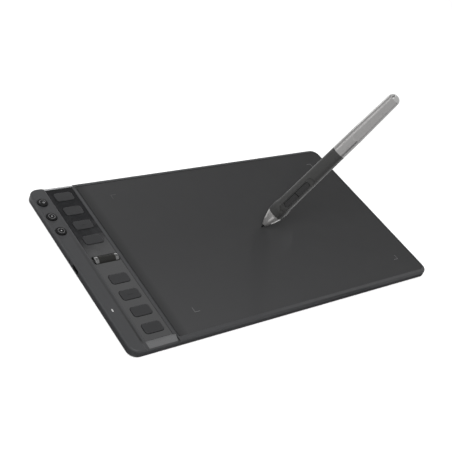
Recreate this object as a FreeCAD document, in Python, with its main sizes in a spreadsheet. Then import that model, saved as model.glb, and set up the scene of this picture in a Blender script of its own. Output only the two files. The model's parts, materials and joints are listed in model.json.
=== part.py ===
import FreeCAD, Part
import os
import re
import Sketcher

# Pen tablet with its pen, in millimetres.
# The origin is the middle of the tablet's footprint, on the table top. X runs along the long side,
# from the key strip on the left to the drawing side on the right, Y runs to the back and Z is up.

# Driving dimensions of the tablet.
SIZES = {
    # Housing outline and shells
    "body_length": 325.0,
    "body_depth": 181.0,
    "corner_radius": 8.2,
    "foot_lift": 0.8,
    "floor_thickness": 1.2,
    "split_height": 2.2,
    "wall": 1.6,
    "under_round": 0.9,
    "rim_height": 7.3,
    "rim_round": 1.5,
    "roof_thickness": 1.2,
    "side_wall": 3.2,
    "end_wall": 6.4,
    "lip_thickness": 1.1,
    "lip_rise": 1.2,
    "lip_gap": 0.1,
    # Raised bar along the left side
    "bar_width": 14.9,
    "bar_height": 8.0,
    "bar_nose_radius": 3.0,
    "bar_round": 1.6,
    "bar_roof": 1.5,
    "scoop_width": 4.2,
    "scoop_land": 2.1,
    "scoop_drop": 0.95,
    "scoop_rear_drop": 0.02,
    "scoop_length": 110.0,
    # Channel with the key panel, and the ridge and groove beside the drawing sheet
    "channel_width": 24.8,
    "channel_floor": 1.6,
    "ridge_width": 2.2,
    "ridge_height": 7.35,
    "groove_width": 1.6,
    "ridge_round": 0.4,
    "panel_height": 6.95,
    "panel_thickness": 0.8,
    "panel_gap": 0.15,
    "front_trim_depth": 6.5,
    "front_trim_margin": 1.3,
    "front_trim_drop": 0.85,
    "rear_trim_depth": 2.3,
    "rear_trim_margin": 0.4,
    "rear_trim_drop": 0.4,
    "trim_thickness": 1.7,
    "trim_flat": 1.4,
    # Drawing sheet
    "sheet_height": 7.0,
    "sheet_thickness": 0.4,
    "sheet_gap": 0.15,
    "sheet_radius": 2.5,
    "sheet_margin_front": 3.9,
    "sheet_margin_rear": 3.2,
    "sheet_margin_right": 2.4,
    # Press keys
    "controls_offset": 0.4,
    "key_length": 16.4,
    "key_depth": 9.8,
    "key_radius": 2.5,
    "key_height": 7.5,
    "key_round": 0.35,
    "key_gap": 0.3,
    "key_margin_front": 10.65,
    "key_margin_rear": 10.45,
    "key_travel": 0.5,
    "key_flange": 0.8,
    "flange_thickness": 0.5,
    "flange_gap": 0.1,
    "window_gap": 0.5,
    "tactile_length": 4.0,
    "tactile_width": 0.7,
    "tactile_rise": 0.15,
    # Round group buttons on the bar
    "group_inset": 5.8,
    "group_radius": 4.4,
    "group_pitch": 17.25,
    "group_margin": 34.6,
    "group_rise": 1.0,
    "group_round": 0.6,
    "group_gap": 0.3,
    "group_neck": 3.4,
    "group_tab_width": 3.0,
    "group_tab_length": 10.2,
    # Scroll wheel, its cradle and its position sensor
    "wheel_to_key": 22.35,
    "wheel_radius": 3.85,
    "wheel_axis_height": 5.45,
    "wheel_length": 21.4,
    "grip_length": 15.2,
    "grip_wall": 0.9,
    "grip_groove": 0.22,
    "cap_round": 0.5,
    "axle_radius": 0.45,
    "axle_play": 0.05,
    "axle_setback": 0.2,
    "cradle_length": 23.6,
    "cradle_depth": 10.2,
    "cradle_wall": 0.8,
    "cradle_bottom": 3.0,
    "opening_length": 22.8,
    "opening_depth": 8.4,
    "opening_radius": 1.2,
    "wheel_relief": 0.55,
    "wheel_relief_depth": 6.0,
    "magnet_radius": 2.0,
    "magnet_thickness": 0.8,
    # Side port, side slot and status light
    "port_middle": 90.8,
    "port_height": 4.0,
    "port_length": 9.4,
    "port_opening": 3.6,
    "socket_length": 8.94,
    "socket_thickness": 3.26,
    "socket_wall": 0.3,
    "socket_reach": 7.3,
    "socket_inset": 0.6,
    "tongue_width": 6.7,
    "tongue_thickness": 0.7,
    "tongue_reach": 4.5,
    "slot_middle": 100.6,
    "slot_height": 3.6,
    "slot_length": 3.0,
    "slot_opening": 2.0,
    "slot_depth": 1.1,
    "light_inset": 5.4,
    "light_middle": 41.6,
    "light_length": 2.7,
    "light_width": 1.1,
    "light_gap": 0.05,
    "lamp_thickness": 0.4,
    "lamp_length": 1.6,
    "lamp_width": 0.8,
    # Circuit boards
    "board_thickness": 0.8,
    "board_margin_side": 3.4,
    "board_margin_front": 12.8,
    "board_margin_rear": 10.0,
    "dome_radius": 2.2,
    "dome_height": 0.4,
    "dome_chamfer": 0.3,
    "chip_length": 7.0,
    "chip_thickness": 0.9,
    "chip_y": -34.0,
    "sensor_chip_length": 3.0,
    "sensor_chip_thickness": 0.7,
    "antenna_margin_left": 19.0,
    "antenna_margin_end": 18.5,
    "antenna_thickness": 1.0,
    "antenna_margin_right": 12.5,
    "shield_thickness": 0.3,
    "shield_setback": 8.0,
    "ribbon_width": 12.0,
    "ribbon_thickness": 0.2,
    "ribbon_overlap": 5.0,
    "ribbon_y": 30.0,
    # Screws, ribs and feet
    "screw_inset_x": 8.5,
    "screw_inset_y": 9.0,
    "screw_radius": 1.0,
    "screw_reach": 3.0,
    "screw_head_radius": 2.0,
    "screw_head_thickness": 0.9,
    "screw_gap": 0.05,
    "drive_radius": 0.7,
    "boss_radius": 2.6,
    "boss_height": 3.2,
    "rib_width": 1.2,
    "rib_gap": 0.1,
    "rib_pitch": 60.0,
    "foot_length": 34.0,
    "foot_width": 9.0,
    "foot_x": 140.5,
    "foot_recess": 0.4,
    "foot_round": 0.3,
    # Pen
    "pen_length": 165.0,
    "pen_lean": 25.6,
    "pen_heading": -13.3,
    "pen_roll": -126.0,
    "pen_tip_x": 25.5,
    "pen_tip_y": 2.0,
    "pen_tip_gap": 0.3,
    "nib_point": 0.5,
    "nib_radius": 0.85,
    "nib_length": 22.2,
    "nib_travel": 0.4,
    "nose_start": 3.6,
    "nose_mouth": 2.1,
    "nose_waist": 6.0,
    "nose_waist_radius": 3.3,
    "nose_end": 18.0,
    "nose_radius": 7.2,
    "nose_curve": 60.0,
    "nose_bore": 1.2,
    "nose_room": 3.3,
    "nose_room_start": 9.6,
    "grip_swell": 21.5,
    "grip_swell_radius": 7.6,
    "grip_swell_curve": 20.0,
    "grip_neck": 30.0,
    "grip_neck_radius": 7.05,
    "grip_middle": 46.0,
    "grip_middle_radius": 6.75,
    "grip_end": 97.0,
    "grip_end_radius": 6.5,
    "grip_bore": 4.6,
    "spigot_length": 5.0,
    "spigot_gap": 0.05,
    "barrel_mid": 118.0,
    "barrel_mid_radius": 6.45,
    "barrel_end_radius": 5.4,
    "barrel_bore": 4.0,
    "barrel_neck_length": 11.0,
    "facet_start": 113.0,
    "facet_depth": 0.85,
    "facet_run": 3.0,
    "facet_curve": 5.0,
    "cap_length": 4.0,
    "cap_curve": 5.2,
    "cap_tip_radius": 1.5,
    "cap_spigot_radius": 3.0,
    "cap_spigot_length": 3.0,
    "button_start": 31.0,
    "button_length": 14.4,
    "button_split": 0.4,
    "button_width": 4.6,
    "button_rise": 0.55,
    "button_gap": 0.25,
    "button_travel": 0.3,
    "button_tab": 0.8,
    "button_tab_width": 3.0,
    "button_corner": 2.0,
    "button_edge": 0.25,
    "recess_start": 25.5,
    "recess_length": 40.0,
    "recess_width": 7.2,
    "recess_level": 5.4,
    "pen_board_level": 1.2,
    "pen_board_width": 7.4,
    "pen_board_start": 33.0,
    "pen_board_length": 56.0,
    "switch_height": 1.0,
    "switch_width": 2.6,
    "ferrite_radius": 2.4,
    "ferrite_start": 10.0,
    "ferrite_length": 8.5,
    "coil_radius": 3.1,
    "coil_margin": 0.8,
    "sensor_radius": 4.3,
    "sensor_length": 6.5,
    "holder_radius": 1.8,
    "holder_length": 3.6,
    "holder_floor": 0.6,
}

# How many there are of what repeats.
KEY_COUNT_A_SIDE = 4
TACTILE_KEYS = (3, 6)
GROUP_COUNT = 3
SCREW_COUNT_A_SIDE = 3  # screws and feet along the front, and again along the rear
RIB_COUNT = 4
GROOVE_COUNT = 20

# Places that follow from the sizes, as formulas of them.
PLACES = {
    "left_edge": "-body_length / 2",
    "right_edge": "body_length / 2",
    "front_edge": "-body_depth / 2",
    "rear_edge": "body_depth / 2",
    "floor_top": "foot_lift + floor_thickness",
    "bar_right": "left_edge + bar_width",
    "channel_right": "bar_right + channel_width",
    "ridge_right": "channel_right + ridge_width",
    "sheet_left": "ridge_right + groove_width",
    "controls_x": "(bar_right + channel_right) / 2 + controls_offset",
    "seat_height": "panel_height - panel_thickness",
    "channel_under": "seat_height - channel_floor",
    "bar_under": "bar_height - bar_roof",
    "sheet_seat": "sheet_height - sheet_thickness",
    "sheet_under": "sheet_seat - roof_thickness",
    "panel_front": "front_edge + front_trim_margin + front_trim_depth",
    "panel_rear": "rear_edge - rear_trim_margin - rear_trim_depth",
    "front_key_y": "panel_front + key_margin_front",
    "rear_key_y": "panel_rear - key_margin_rear",
    "wheel_y": "(front_key_y + rear_key_y) / 2",
    "key_pitch": f"(wheel_y - wheel_to_key - front_key_y) / {KEY_COUNT_A_SIDE - 1}",
    "group_x": "left_edge + group_inset",
    "group_y": "rear_edge - group_margin",
    "board_top": "channel_under",
    "board_under": "board_top - board_thickness",
    "dome_top": "board_top + dome_height",
    "key_bottom": "dome_top + key_travel + flange_gap",
    "flange_top": "seat_height - flange_gap",
    "board_left": "left_edge + board_margin_side",
    "board_right": "channel_right + wall",
    "board_front": "front_edge + board_margin_front",
    "board_rear": "rear_edge - board_margin_rear",
    "antenna_right": "right_edge - antenna_margin_right",
    "antenna_left": "sheet_left + antenna_margin_left",
    "antenna_front": "front_edge + antenna_margin_end",
    "antenna_rear": "rear_edge - antenna_margin_end",
    "antenna_under": "sheet_under - antenna_thickness",
    "shield_under": "antenna_under - shield_thickness",
    "screw_x": "body_length / 2 - screw_inset_x",
    "screw_y": "body_depth / 2 - screw_inset_y",
    "head_bottom": "boss_height - screw_head_thickness - floor_thickness + foot_recess",
    "port_y": "front_edge + port_middle",
    "socket_end": "left_edge + socket_inset + socket_reach",
    "light_x": "left_edge + light_inset",
    "light_y": "front_edge + light_middle",
    "cap_start": "pen_length - cap_length",
    "barrel_bore_end": "cap_start - barrel_neck_length",
    "pen_board_top": "pen_board_level + board_thickness",
    "switch_top": "pen_board_top + switch_height",
    "button_bottom": "switch_top + button_travel + flange_gap",
    "button_top": "recess_level + button_rise",
    "holder_end": "nib_length + holder_floor",
    "sensor_start": "holder_end + nib_travel + flange_gap",
    "button_pair_end": "button_start + 2 * button_length + button_split",
}

MARGIN = 5.0  # how far a cutting sketch reaches past the piece it cuts
TURN = 360.0
END_ROUND = 0.45  # how round the ends of a pill shape are, as a share of its width

# The sketcher's numbers for the origin and for the points of an element.
ROOT_INDEX = -1
START_INDEX = 1
END_INDEX = 2
CENTRE_INDEX = 3
WHOLE_INDEX = 0

WORD = re.compile(r"[a-z][a-z_]*")
document = FreeCAD.newDocument("pen_tablet")
pieces = []


def cells(text, own_places=False):
    """The formula with each size and place in it named as a cell of its sheet."""

    def cell(match):
        word = match.group()
        if word in SIZES:
            return "Sizes." + word
        if word in PLACES and not own_places:
            return "Places." + word
        return word

    return WORD.sub(cell, str(text))


def fill_sheets():
    """The sheet of driving dimensions, and the sheet of places worked out from them."""
    sizes = document.addObject("Spreadsheet::Sheet", "Sizes")
    for row, (alias, size) in enumerate(SIZES.items(), start=1):
        sizes.set(f"B{row}", str(size))
        sizes.setAlias(f"B{row}", alias)
    places = document.addObject("Spreadsheet::Sheet", "Places")
    for row, (alias, formula) in enumerate(PLACES.items(), start=1):
        places.set(f"B{row}", "=" + cells(formula, own_places=True))
        places.setAlias(f"B{row}", alias)
    document.recompute()


fill_sheets()


def number(formula):
    """What a formula of sizes and places comes to now."""
    return float(document.Places.evalExpression(cells(formula, own_places=True)))


def bind(thing, prop, formula):
    thing.setExpression(prop, cells(formula))


def new_body(name):
    body = document.addObject("PartDesign::Body", name)
    body.Label = name
    pieces.append(body)
    return body


def new_sketch(body, plane="XY_Plane", offset="0"):
    """An empty sketch on one of the body's own planes, moved along the plane's normal."""
    made = body.newObject("Sketcher::SketchObject", "Sketch")
    support = next(f for f in body.Origin.OriginFeatures if f.Role == plane)
    made.AttachmentSupport = (support, [""])
    made.MapMode = "FlatFace"
    bind(made, "AttachmentOffset.Base.z", offset)
    return made


def tie(sketch, ties):
    """Dimensions of the sketch, each bound to a formula: (kind, element, point, formula)."""
    made = []
    for kind, element, point, formula in ties:
        if kind == "Radius":
            made.append(Sketcher.Constraint(kind, element, number(formula)))
        else:
            made.append(Sketcher.Constraint(kind, ROOT_INDEX, START_INDEX, element, point, number(formula)))
    first = sketch.ConstraintCount
    sketch.addConstraint(made)
    for index, (_, _, _, formula) in enumerate(ties, start=first):
        bind(sketch, f"Constraints[{index}]", formula)


def arc_between(start, end, formula):
    """An arc of a radius; its middle lies to the right of the way where the formula has a minus."""
    radius = number(formula.lstrip("-"))
    half = (end - start) / 2
    side = FreeCAD.Vector(-half.y, half.x, 0)
    if formula.startswith("-"):
        side = -side
    side.normalize()
    rest = max(radius**2 - half.Length**2, 0.0) ** 0.5
    centre = start + half + side * rest
    return Part.Arc(start, centre - side * radius, end)


def draw_outline(sketch, corners):
    """A closed outline through corners given as formulas: (x, y), or (x, y, radius) where an arc
    arrives at the corner."""
    points = [FreeCAD.Vector(number(c[0]), number(c[1]), 0) for c in corners]
    shapes = []
    for index, corner in enumerate(corners):
        start = points[index - 1]
        end = points[index]
        arc = len(corner) == 3
        shapes.append(arc_between(start, end, corner[2]) if arc else Part.LineSegment(start, end))
    elements = sketch.addGeometry(shapes)
    ends = [arc_end(sketch, element, point) for element, point in zip(elements, points)]
    joins = []
    ties = []
    for index, corner in enumerate(corners):
        after = (index + 1) % len(corners)
        here = elements[index]
        other = START_INDEX + END_INDEX - ends[after]
        joins.append(Sketcher.Constraint("Coincident", here, ends[index], elements[after], other))
        ties.append(("DistanceX", here, ends[index], corner[0]))
        ties.append(("DistanceY", here, ends[index], corner[1]))
        if len(corner) == 3:
            ties.append(("Radius", here, WHOLE_INDEX, corner[2].lstrip("-")))
    sketch.addConstraint(joins)
    tie(sketch, ties)
    return sketch


def arc_end(sketch, element, point):
    """Which end of the element lies at the point."""
    to_end = (sketch.getPoint(element, END_INDEX) - point).Length
    to_start = (sketch.getPoint(element, START_INDEX) - point).Length
    return END_INDEX if to_end < to_start else START_INDEX


def rectangle(left, right, front, rear):
    return [(left, front), (right, front), (right, rear), (left, rear)]


def rounded(left, right, front, rear, radius, right_radius=None):
    """The corners of a rounded rectangle; its right side can have a radius of its own."""
    far = right_radius or radius
    return [
        (f"{right} - {far}", front),
        (right, f"{front} + {far}", far),
        (right, f"{rear} - {far}"),
        (f"{right} - {far}", rear, far),
        (f"{left} + {radius}", rear),
        (left, f"{rear} - {radius}", radius),
        (left, f"{front} + {radius}"),
        (f"{left} + {radius}", front, radius),
    ]


def pill(across, along, width):
    """The corners of a slot with round ends."""
    return rounded(*across, *along, f"({width} * {END_ROUND})")


def around(middle, size, grow="0"):
    """The two ends of a span of a size, grown at both ends, about its middle."""
    return f"{middle} - ({size}) / 2 - ({grow})", f"{middle} + ({size}) / 2 + ({grow})"


def draw_circle(sketch, x, y, radius):
    centre = FreeCAD.Vector(number(x), number(y), 0)
    index = sketch.addGeometry(Part.Circle(centre, FreeCAD.Vector(0, 0, 1), number(radius)))
    middle = [("DistanceX", index, CENTRE_INDEX, x), ("DistanceY", index, CENTRE_INDEX, y)]
    tie(sketch, middle + [("Radius", index, WHOLE_INDEX, radius)])
    return sketch


def feature(body, kind, sketch):
    made = body.newObject(f"PartDesign::{kind}", kind)
    made.Profile = sketch
    return made


def pad(body, sketch, length, down=False):
    made = feature(body, "Pad", sketch)
    made.Reversed = down
    bind(made, "Length", length)
    document.recompute()
    return made


def pocket(body, sketch, depth, up=False):
    """A cut against the sketch's normal, or along it where up is set."""
    made = feature(body, "Pocket", sketch)
    made.Reversed = up
    bind(made, "Length", depth)
    document.recompute()
    return made


def turn(body, sketch, kind="Revolution", axis="V_Axis"):
    made = feature(body, kind, sketch)
    made.ReferenceAxis = (sketch, [axis])
    made.Angle = TURN
    document.recompute()
    return made


def dress(body, kind, size, wanted):
    """A fillet or chamfer on the edges of the body that wanted() picks by their box."""
    base = body.Tip
    names = []
    for index, edge in enumerate(base.Shape.Edges, start=1):
        if wanted(edge.BoundBox, edge):
            names.append(f"Edge{index}")
    made = body.newObject(f"PartDesign::{kind}", kind)
    made.Base = (base, names)
    bind(made, "Radius" if kind == "Fillet" else "Size", size)
    document.recompute()
    return made


def repeat(body, original, direction, spacing, copies, back=False):
    """Copies of a feature in a row along one of the body's own axes."""
    made = body.newObject("PartDesign::LinearPattern", "LinearPattern")
    axis = next(f for f in body.Origin.OriginFeatures if f.Role == direction)
    made.Originals = [original]
    made.Direction = (axis, [""])
    made.Reversed = back
    made.Mode = "Spacing"
    bind(made, "Offset", spacing)
    made.Occurrences = copies
    body.Tip = made
    document.recompute()
    return made


def repeat_in_six(body, original, spacing="screw_x"):
    """Copies of the feature at the front left corner, at three places along the front and the rear."""
    axis = next(f for f in body.Origin.OriginFeatures if f.Role == "X_Axis")
    plane = next(f for f in body.Origin.OriginFeatures if f.Role == "XZ_Plane")
    made = body.newObject("PartDesign::MultiTransform", "MultiTransform")
    row = document.addObject("PartDesign::LinearPattern", "LinearPattern")
    row.Direction = (axis, [""])
    row.Mode = "Spacing"
    bind(row, "Offset", spacing)
    row.Occurrences = SCREW_COUNT_A_SIDE
    other_side = document.addObject("PartDesign::Mirrored", "Mirrored")
    other_side.MirrorPlane = (plane, [""])
    made.Originals = [original]
    made.Transformations = [row, other_side]
    body.Tip = made
    document.recompute()
    return made


CLOSE = 0.01  # how near to a height an edge's box counts as lying at it


def level(box, height):
    """Whether an edge lies flat at a height."""
    return abs(box.ZMin - number(height)) < CLOSE and abs(box.ZMax - number(height)) < CLOSE


def key_middle(place):
    """The middle of a press key in Y: negative places are in front of the wheel, the nearest first."""
    steps = KEY_COUNT_A_SIDE - abs(place)
    return f"front_key_y + {steps} * key_pitch" if place < 0 else f"rear_key_y - {steps} * key_pitch"


KEY_PLACES = [p for p in range(-KEY_COUNT_A_SIDE, KEY_COUNT_A_SIDE + 1) if p != 0]


SCREW = ("-screw_x", "-screw_y")


def make_top_cover():
    """Upper shell: rim round the drawing sheet, raised bar, key channel, ridge, cavity and bosses."""
    body = new_body("top_cover")
    outline = rounded("left_edge", "right_edge", "front_edge", "rear_edge", "corner_radius")
    pad(body, draw_outline(new_sketch(body, offset="split_height"), outline), "rim_height - split_height")
    dress(body, "Fillet", "rim_round", lambda box, edge: level(box, "rim_height"))

    bar = rounded("left_edge", "bar_right", "front_edge", "rear_edge", "corner_radius", "bar_nose_radius")
    base = new_sketch(body, offset="rim_height - rim_round - bar_round")
    pad(body, draw_outline(base, bar), "bar_height - rim_height + rim_round + bar_round")
    dress(body, "Fillet", "bar_round", lambda box, edge: level(box, "bar_height"))
    cut_scoop(body)

    channel = rectangle("bar_right", "ridge_right", f"front_edge - {MARGIN}", f"rear_edge + {MARGIN}")
    top = new_sketch(body, offset=f"bar_height + {MARGIN}")
    pocket(body, draw_outline(top, channel), f"bar_height + {MARGIN} - seat_height")
    cut_trim_seats(body)

    recess = rounded(
        "ridge_right",
        "right_edge - sheet_margin_right",
        "front_edge + sheet_margin_front",
        "rear_edge - sheet_margin_rear",
        "sheet_radius",
        "(corner_radius - sheet_margin_right)",
    )
    top = new_sketch(body, offset=f"rim_height + {MARGIN}")
    pocket(body, draw_outline(top, recess), f"rim_height + {MARGIN} - sheet_seat")

    end = new_sketch(body, "XZ_Plane", "-panel_front")
    ridge = [
        ("channel_right", "seat_height"),
        ("ridge_right", "seat_height"),
        ("ridge_right", "ridge_height - ridge_round"),
        ("ridge_right - ridge_round", "ridge_height", "ridge_round"),
        ("channel_right + ridge_round", "ridge_height"),
        ("channel_right", "ridge_height - ridge_round", "ridge_round"),
    ]
    pad(body, draw_outline(end, ridge), "panel_rear - panel_front", down=True)

    hollow_top_cover(body)
    cut_control_openings(body)
    add_screw_bosses(body)
    return body


def cut_scoop(body):
    """The bar's right shoulder, which sinks towards the front as a ruled loft."""
    sections = []
    over = f"bar_height + {MARGIN}"
    right = f"bar_right + {MARGIN}"
    rear = "front_edge + scoop_length"
    for offset, drop in (("front_edge", "scoop_drop"), (rear, "scoop_rear_drop")):
        section = new_sketch(body, "XZ_Plane", f"-({offset})")
        sections.append(
            draw_outline(
                section,
                [
                    ("bar_right - scoop_width", over),
                    ("bar_right - scoop_width", "bar_height"),
                    ("bar_right - scoop_land", f"bar_height - {drop}"),
                    (right, f"bar_height - {drop}"),
                    (right, over),
                ],
            )
        )
    loft = body.newObject("PartDesign::SubtractiveLoft", "Scoop")
    loft.Profile = sections[0]
    loft.Sections = [sections[1]]
    loft.Ruled = True
    document.recompute()


def cut_trim_seats(body):
    """Deeper seats for the metal trims at both ends of the channel."""
    ends = [
        ("front_edge + front_trim_margin", "panel_front"),
        ("panel_rear", "rear_edge - rear_trim_margin"),
    ]
    for front, rear in ends:
        top = new_sketch(body, offset=f"bar_height + {MARGIN}")
        seat = rectangle("bar_right", "ridge_right", front, rear)
        pocket(body, draw_outline(top, seat), f"bar_height + {MARGIN} - panel_height + trim_thickness")


def hollow_top_cover(body):
    """The cavity under the shell, as high as each roof above it allows."""
    near = ("left_edge + wall", "right_edge - wall", "front_edge + wall", "rear_edge - wall")
    under = new_sketch(body, offset="split_height")
    pocket(
        body,
        draw_outline(under, rounded(*near, "(corner_radius - wall)")),
        "channel_under - split_height",
        up=True,
    )
    along = ("front_edge + end_wall", "rear_edge - end_wall")
    bar = rounded("left_edge + wall", "bar_right - wall", *along, "wall")
    under = new_sketch(body, offset="split_height")
    pocket(body, draw_outline(under, bar), "bar_under - split_height", up=True)
    drawing = rounded("sheet_left", "right_edge - side_wall", *along, "wall")
    under = new_sketch(body, offset="split_height")
    pocket(body, draw_outline(under, drawing), "sheet_under - split_height", up=True)


def cut_control_openings(body):
    """Windows for the keys and the wheel, holes for the round buttons, the light and the port."""
    room = "key_flange + window_gap"
    across = around("controls_x", "key_length", room)
    for place in (-1, 1):
        along = around(key_middle(place), "key_depth", room)
        top = new_sketch(body, offset="bar_height")
        window = draw_outline(top, rounded(*across, *along, "key_radius"))
        cut = pocket(body, window, "bar_height - split_height")
        repeat(body, cut, "Y_Axis", "key_pitch", KEY_COUNT_A_SIDE, back=place < 0)

    across = around("controls_x", "cradle_length", "spigot_gap")
    along = around("wheel_y", "cradle_depth", "spigot_gap")
    top = new_sketch(body, offset="seat_height")
    pocket(body, draw_outline(top, rectangle(*across, *along)), "seat_height - split_height")

    top = new_sketch(body, offset="bar_height + group_rise")
    hole = draw_circle(top, "group_x", "group_y - group_pitch", "group_radius + group_gap")
    cut = pocket(body, hole, "bar_height + group_rise - key_bottom")
    repeat(body, cut, "Y_Axis", "group_pitch", GROUP_COUNT)

    across = around("light_x", "light_width", "light_gap")
    along = around("light_y", "light_length", "light_gap")
    top = new_sketch(body, offset=f"bar_height + {MARGIN}")
    slot = pill(across, along, "light_width")
    pocket(body, draw_outline(top, slot), f"bar_height + {MARGIN} - bar_under")

    across = around("port_y", "port_length")
    along = around("port_height", "port_opening")
    side = new_sketch(body, "YZ_Plane", f"left_edge - {MARGIN}")
    slot = pill(across, along, "port_opening")
    pocket(body, draw_outline(side, slot), f"{MARGIN} + wall + lip_gap", up=True)
    across = around("slot_middle + front_edge", "slot_length")
    along = around("slot_height", "slot_opening")
    side = new_sketch(body, "YZ_Plane", f"left_edge - {MARGIN}")
    slot = pill(across, along, "slot_opening")
    pocket(body, draw_outline(side, slot), f"{MARGIN} + slot_depth", up=True)


def add_screw_bosses(body):
    """Bosses that the six screws of the bottom cover go up into."""
    boss = draw_circle(new_sketch(body, offset="boss_height"), *SCREW, "boss_radius")
    repeat_in_six(body, pad(body, boss, "sheet_seat - boss_height - screw_gap"))
    pilot = draw_circle(new_sketch(body, offset="boss_height"), *SCREW, "screw_radius + screw_gap")
    repeat_in_six(body, pocket(body, pilot, "screw_reach", up=True))


def make_bottom_cover():
    """Lower shell: floor with a rounded lower edge, lip, screw bosses, ribs and foot recesses."""
    body = new_body("bottom_cover")
    outline = rounded("left_edge", "right_edge", "front_edge", "rear_edge", "corner_radius")
    pad(body, draw_outline(new_sketch(body, offset="foot_lift"), outline), "split_height - foot_lift")
    dress(body, "Fillet", "under_round", lambda box, edge: level(box, "foot_lift"))
    outer = "wall + lip_gap"
    inner = "wall + lip_gap + lip_thickness"
    lip = new_sketch(body, offset="floor_top")
    for inset in (outer, inner):
        ring = rounded(
            f"left_edge + {inset}",
            f"right_edge - ({inset})",
            f"front_edge + {inset}",
            f"rear_edge - ({inset})",
            f"(corner_radius - ({inset}))",
        )
        draw_outline(lip, ring)
    pad(body, lip, "split_height - floor_top + lip_rise")
    boss = draw_circle(new_sketch(body, offset="floor_top"), *SCREW, "boss_radius")
    repeat_in_six(body, pad(body, boss, "boss_height - floor_top"))
    add_floor_ribs(body)

    relief = new_sketch(body, offset=f"floor_top + {MARGIN}")
    across = around("controls_x", "wheel_length", "window_gap")
    along = around("wheel_y", "wheel_relief_depth")
    pocket(body, draw_outline(relief, rectangle(*across, *along)), f"{MARGIN} + wheel_relief")

    side = new_sketch(body, "YZ_Plane", f"left_edge - {MARGIN}")
    slot = rectangle(*around("port_y", "port_length"), "floor_top", "port_height + port_opening")
    pocket(body, draw_outline(side, slot), f"{MARGIN} + wall + 2 * lip_gap + lip_thickness", up=True)

    across = around("-foot_x", "foot_length", "sheet_gap")
    foot = pill(across, around("-screw_y", "foot_width", "sheet_gap"), "foot_width")
    recess = pocket(body, draw_outline(new_sketch(body), foot), "foot_lift + foot_recess", up=True)
    repeat_in_six(body, recess, "foot_x")
    head = draw_circle(new_sketch(body), *SCREW, "screw_head_radius + 2 * screw_gap")
    repeat_in_six(body, pocket(body, head, "head_bottom + screw_head_thickness", up=True))
    hole = draw_circle(new_sketch(body), *SCREW, "screw_radius + 2 * screw_gap")
    repeat_in_six(body, pocket(body, hole, "boss_height + board_thickness", up=True))
    return body


def add_floor_ribs(body):
    """Ribs that hold the floor off the shield under the drawing area."""
    height = "shield_under - rib_gap - floor_top"
    long_rib = new_sketch(body, offset="floor_top")
    across = ("antenna_left + shield_setback", "antenna_right")
    rib = rectangle(*across, *around("0", "rib_width"))
    pad(body, draw_outline(long_rib, rib), height)
    cross = new_sketch(body, offset="floor_top")
    rib = rectangle(
        *around("antenna_left + rib_pitch / 2", "rib_width"), "antenna_front", "antenna_rear"
    )
    first = pad(body, draw_outline(cross, rib), height)
    repeat(body, first, "X_Axis", "rib_pitch", RIB_COUNT)


def make_feet():
    """Six rubber feet, each stuck in its recess over a screw."""
    body = new_body("rubber_feet")
    plan = pill(around("-foot_x", "foot_length"), around("-screw_y", "foot_width"), "foot_width")
    foot = pad(body, draw_outline(new_sketch(body), plan), "foot_lift + foot_recess")
    repeat_in_six(body, foot, "foot_x")
    dress(body, "Chamfer", "foot_round", lambda box, edge: level(box, "0"))
    return body


def make_screws():
    """Six self-tapping screws, driven up through the bottom cover under the feet."""
    body = new_body("cover_screws")
    head = draw_circle(new_sketch(body, offset="head_bottom"), *SCREW, "screw_head_radius")
    head = pad(body, head, "screw_head_thickness")
    shank = draw_circle(new_sketch(body, offset="head_bottom"), *SCREW, "screw_radius")
    shank = pad(body, shank, "boss_height + screw_reach - head_bottom - 2 * screw_gap")
    drive = draw_circle(new_sketch(body, offset="head_bottom"), *SCREW, "drive_radius")
    drive = pocket(body, drive, "screw_head_thickness / 2", up=True)
    for made in (head, shank, drive):
        repeat_in_six(body, made)
    return body


def make_sheet():
    body = new_body("drawing_sheet")
    outline = rounded(
        "sheet_left",
        "right_edge - sheet_margin_right - sheet_gap",
        "front_edge + sheet_margin_front + sheet_gap",
        "rear_edge - sheet_margin_rear - sheet_gap",
        "sheet_radius",
        "(corner_radius - sheet_margin_right)",
    )
    pad(body, draw_outline(new_sketch(body, offset="sheet_seat"), outline), "sheet_thickness")
    return body


def make_panel():
    """Glossy plate in the channel, with a hole for each key and the wheel's opening."""
    body = new_body("key_panel")
    across = ("bar_right + panel_gap", "channel_right - panel_gap")
    plate = rectangle(*across, "panel_front + panel_gap", "panel_rear - panel_gap")
    pad(body, draw_outline(new_sketch(body, offset="seat_height"), plate), "panel_thickness")
    across = around("controls_x", "key_length", "key_gap")
    for place in (-1, 1):
        along = around(key_middle(place), "key_depth", "key_gap")
        top = new_sketch(body, offset="bar_height")
        window = draw_outline(top, rounded(*across, *along, "(key_radius + key_gap)"))
        cut = pocket(body, window, "bar_height")
        repeat(body, cut, "Y_Axis", "key_pitch", KEY_COUNT_A_SIDE, back=place < 0)
    top = new_sketch(body, offset="bar_height")
    opening = rounded(
        *around("controls_x", "opening_length"), *around("wheel_y", "opening_depth"), "opening_radius"
    )
    pocket(body, draw_outline(top, opening), "bar_height")
    return body


def make_trim(name, inner, outer, drop, sign):
    """Metal strip that closes one end of the channel and slopes down to the outline."""
    body = new_body(name)
    side = new_sketch(body, "YZ_Plane", "bar_right + panel_gap")
    section = [
        (inner, "panel_height - trim_thickness"),
        (inner, "panel_height"),
        (f"{inner} {sign} trim_flat", "panel_height"),
        (outer, f"panel_height - {drop}"),
        (outer, "panel_height - trim_thickness"),
    ]
    pad(body, draw_outline(side, section), "ridge_right - bar_right - 2 * panel_gap")
    return body


def make_trims():
    front = "front_edge + front_trim_margin + panel_gap"
    rear = "rear_edge - rear_trim_margin - panel_gap"
    make_trim("front_trim", "panel_front", front, "front_trim_drop", "-")
    make_trim("rear_trim", "panel_rear", rear, "rear_trim_drop", "+")


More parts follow.
